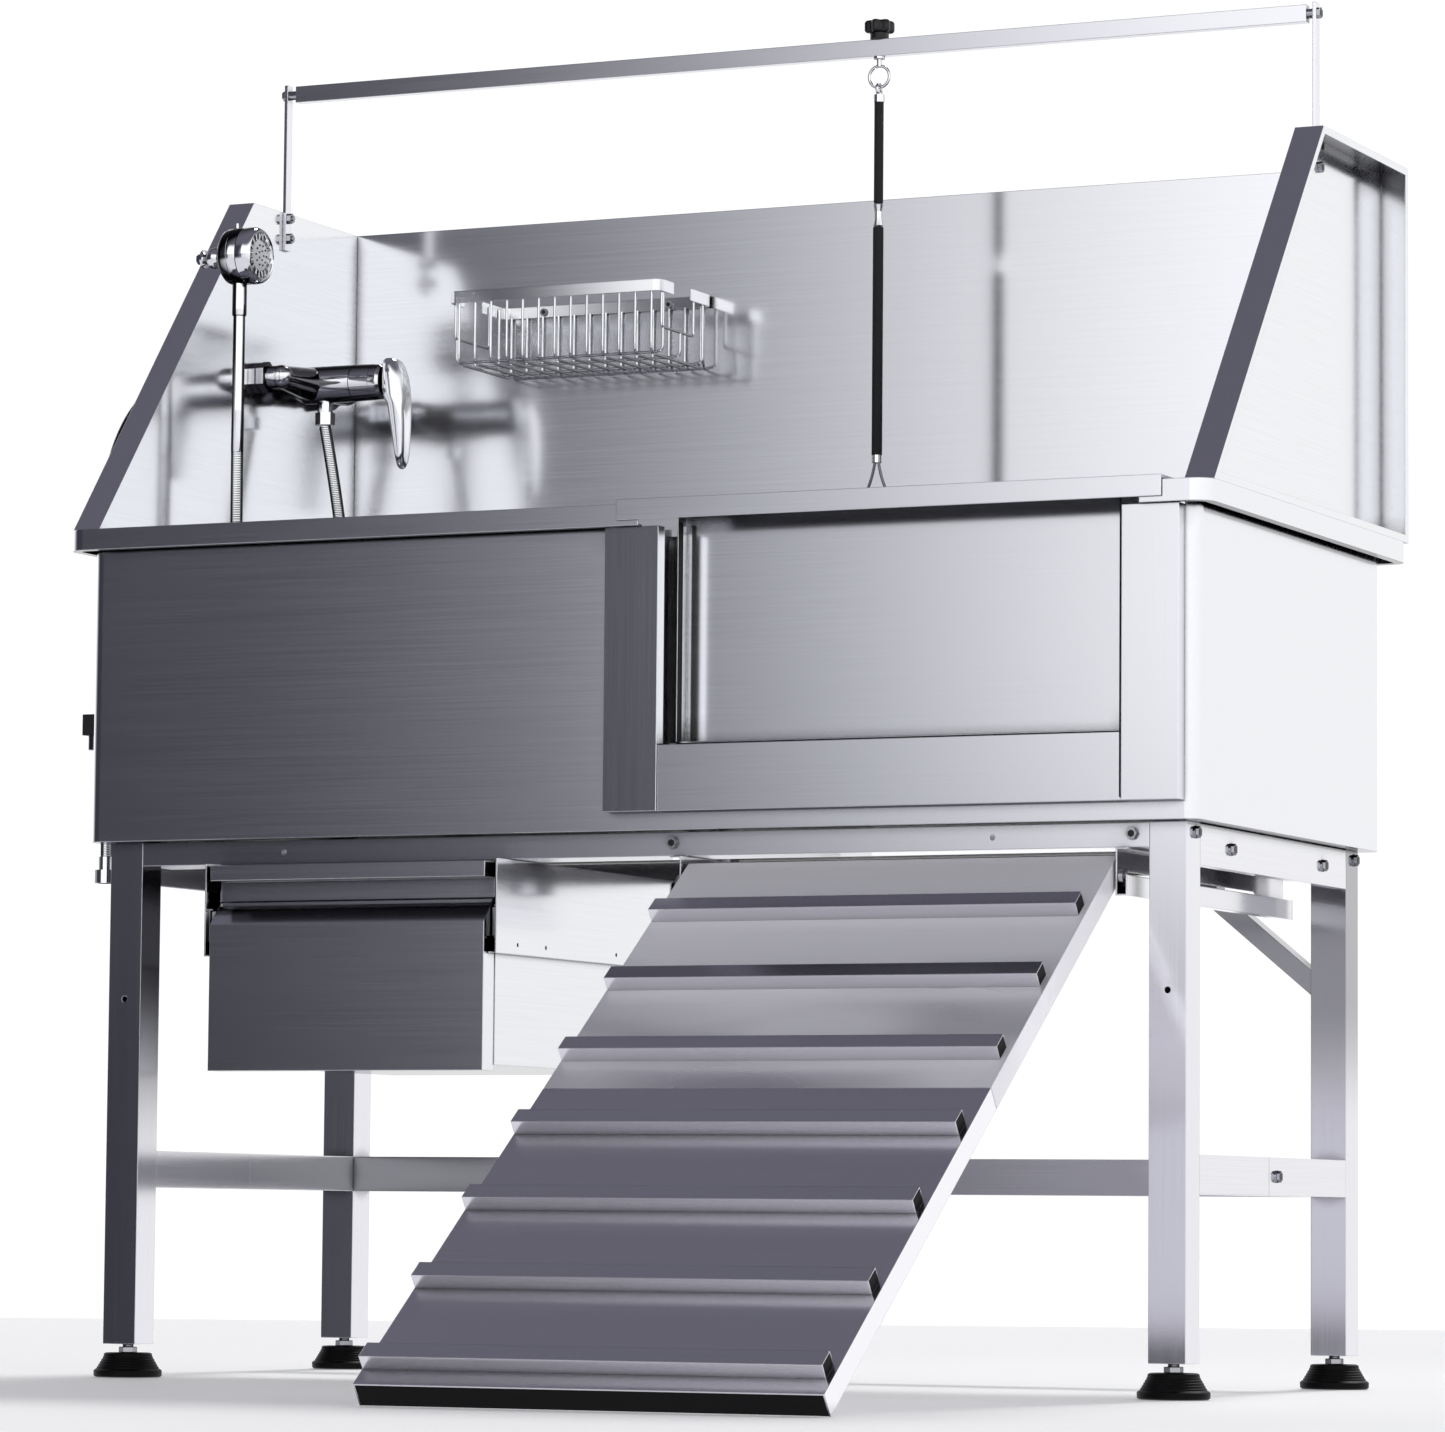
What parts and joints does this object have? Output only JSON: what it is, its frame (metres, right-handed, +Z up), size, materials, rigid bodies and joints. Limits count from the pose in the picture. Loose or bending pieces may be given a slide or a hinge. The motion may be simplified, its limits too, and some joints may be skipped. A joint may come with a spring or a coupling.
{
  "type": "pet bathtub",
  "caption": "Raised stainless pet bathtub with lift-out door, folding pull-out ramp, drawer, splash panels, overhead restraint arm, basket, mixer tap and hand shower",
  "frame": {"origin": "middle of the footprint (cords left out), on the floor the feet and the ramp end stand on", "axes": "+X along the tub towards the doorway end, +Y from the front towards the backsplash, +Z up"},
  "size_m": [1.2939, 1.251, 1.4378],
  "materials": {
    "basin_steel": "fine brushed stainless sheet",
    "trim_steel": "folded brushed stainless sheet",
    "frame_steel": "satin stainless tube and channel",
    "drawer_steel": "folded brushed stainless sheet",
    "slide_zinc": "zinc-plated",
    "ramp_steel": "brushed stainless sheet",
    "ramp_hardware": "bright turned steel",
    "fastener_steel": "bright stainless",
    "black_rubber": "matt moulded rubber",
    "foot_rubber": "matt moulded pads on plated studs",
    "fitting_chrome": "polished chrome plate",
    "dial_chrome": "chrome ring with pale nozzle face",
    "arm_steel": "satin stainless bar",
    "knob_plastic": "black moulded",
    "tether_black": "black woven cover",
    "ferrule_metal": "crimped bright metal",
    "noose_coated": "dark coated wire",
    "hose_metal": "wound metal hose",
    "overflow_plastic": "black moulded"
  },
  "bodies": {
    "tub_frame": {"arm_uprights": "arm_steel", "backsplash_panel": "basin_steel", "door_post_left": "trim_steel", "door_post_right": "trim_steel", "door_sill": "trim_steel", "drain_fitting": "fitting_chrome", "drawer_housing": "drawer_steel", "end_rails": "frame_steel", "end_stretchers": "frame_steel", "eye_bolt": "fitting_chrome", "fasteners": "fastener_steel", "front_rail": "frame_steel", "leg_front_left": "frame_steel", "leg_front_right": "frame_steel", "leg_rear_left": "frame_steel", "leg_rear_right": "frame_steel", "mixer_body": "fitting_chrome", "mixer_nuts": "fitting_chrome", "mixer_shanks": "fitting_chrome", "overflow_elbow": "overflow_plastic", "overhead_bar": "arm_steel", "ramp_tracks": "frame_steel", "rear_braces": "frame_steel", "rear_rail": "frame_steel", "rear_stretcher": "frame_steel", "shower_holder": "fitting_chrome", "shower_hose": "hose_metal", "slide_rails_fixed": "slide_zinc", "splash_panel_left": "basin_steel", "splash_panel_right": "basin_steel", "supply_connector": "hose_metal", "supply_hose": "hose_metal", "top_rim": "trim_steel", "tub_shell": "basin_steel", "wire_basket": "fitting_chrome"},
    "door": {"door_panel": "basin_steel", "door_cap": "trim_steel", "door_seal": "black_rubber"},
    "drawer": {"drawer_box": "drawer_steel", "drawer_front": "drawer_steel", "slide_rails_moving": "slide_zinc"},
    "ramp_carriage": {"ramp_axle": "ramp_hardware"},
    "ramp_upper": {"ramp_upper_deck": "ramp_steel", "ramp_treads_upper": "ramp_steel", "fold_hinge_pins": "ramp_hardware"},
    "ramp_lower": {"ramp_lower_deck": "ramp_steel", "ramp_treads_lower": "ramp_steel", "ramp_foot_strip": "black_rubber"},
    "lever_hub": {"lever_collar": "fitting_chrome"},
    "lever": {"mixer_lever": "fitting_chrome"},
    "handset": {"handset_body": "fitting_chrome"},
    "spray_face": {"spray_dial": "dial_chrome"},
    "knob": {"clamp_knob": "knob_plastic"},
    "tether": {"tether_strap": "tether_black", "tether_ferrules": "ferrule_metal", "noose_wire": "noose_coated"},
    "foot_fl": {"foot_front_left": "foot_rubber"},
    "foot_fr": {"foot_front_right": "foot_rubber"},
    "foot_rl": {"foot_rear_left": "foot_rubber"},
    "foot_rr": {"foot_rear_right": "foot_rubber"}
  },
  "joints": [
    {"name": "door_lift", "type": "slide", "parent": "tub_frame", "child": "door", "axis": [0, 0, 1], "range_m": [0, 0.24]},
    {"name": "drawer_slide", "type": "slide", "parent": "tub_frame", "child": "drawer", "axis": [0, -1, 0], "range_m": [0, 0.35]},
    {"name": "ramp_slide", "type": "slide", "parent": "tub_frame", "child": "ramp_carriage", "axis": [0, 1, 0], "range_m": [0, 0.38]},
    {"name": "ramp_tilt", "type": "hinge", "parent": "ramp_carriage", "child": "ramp_upper", "pos_m": [0.29975, 0.06285, 0.501], "axis": [-1, 0, 0], "range_deg": [0, 33]},
    {"name": "ramp_fold", "type": "hinge", "parent": "ramp_upper", "child": "ramp_lower", "pos_m": [0.29975, -0.23647, 0.26684], "axis": [1, 0, 0], "range_deg": [0, 180]},
    {"name": "lever_turn", "type": "hinge", "parent": "tub_frame", "child": "lever_hub", "pos_m": [-0.48175, 0.43645, 1.0835], "axis": [1, 0, 0], "range_deg": [-45, 45]},
    {"name": "lever_lift", "type": "hinge", "parent": "lever_hub", "child": "lever", "pos_m": [-0.47635, 0.43645, 1.1035], "axis": [0, -1, 0], "range_deg": [0, 20]},
    {"name": "handset_turn", "type": "hinge", "parent": "tub_frame", "child": "handset", "pos_m": [-0.58525, 0.24645, 1.198], "axis": [0, 0, 1], "range_deg": [-15, 15]},
    {"name": "spray_turn", "type": "hinge", "parent": "handset", "child": "spray_face", "pos_m": [-0.53675, 0.24645, 1.198], "axis": [1, 0, 0], "range_deg": [-60, 60]},
    {"name": "knob_turn", "type": "hinge", "parent": "tub_frame", "child": "knob", "pos_m": [0.11705, 0.42545, 1.425], "axis": [0, 0, 1], "continuous": true},
    {"name": "tether_swing", "type": "hinge", "parent": "tub_frame", "child": "tether", "pos_m": [0.11705, 0.42545, 1.366], "axis": [1, 0, 0], "range_deg": [-15, 15]},
    {"name": "level_fl", "type": "slide", "parent": "tub_frame", "child": "foot_fl", "axis": [0, 0, -1], "range_m": [0, 0.015]},
    {"name": "level_fr", "type": "slide", "parent": "tub_frame", "child": "foot_fr", "axis": [0, 0, -1], "range_m": [0, 0.015]},
    {"name": "level_rl", "type": "slide", "parent": "tub_frame", "child": "foot_rl", "axis": [0, 0, -1], "range_m": [0, 0.015]},
    {"name": "level_rr", "type": "slide", "parent": "tub_frame", "child": "foot_rr", "axis": [0, 0, -1], "range_m": [0, 0.015]}
  ]
}
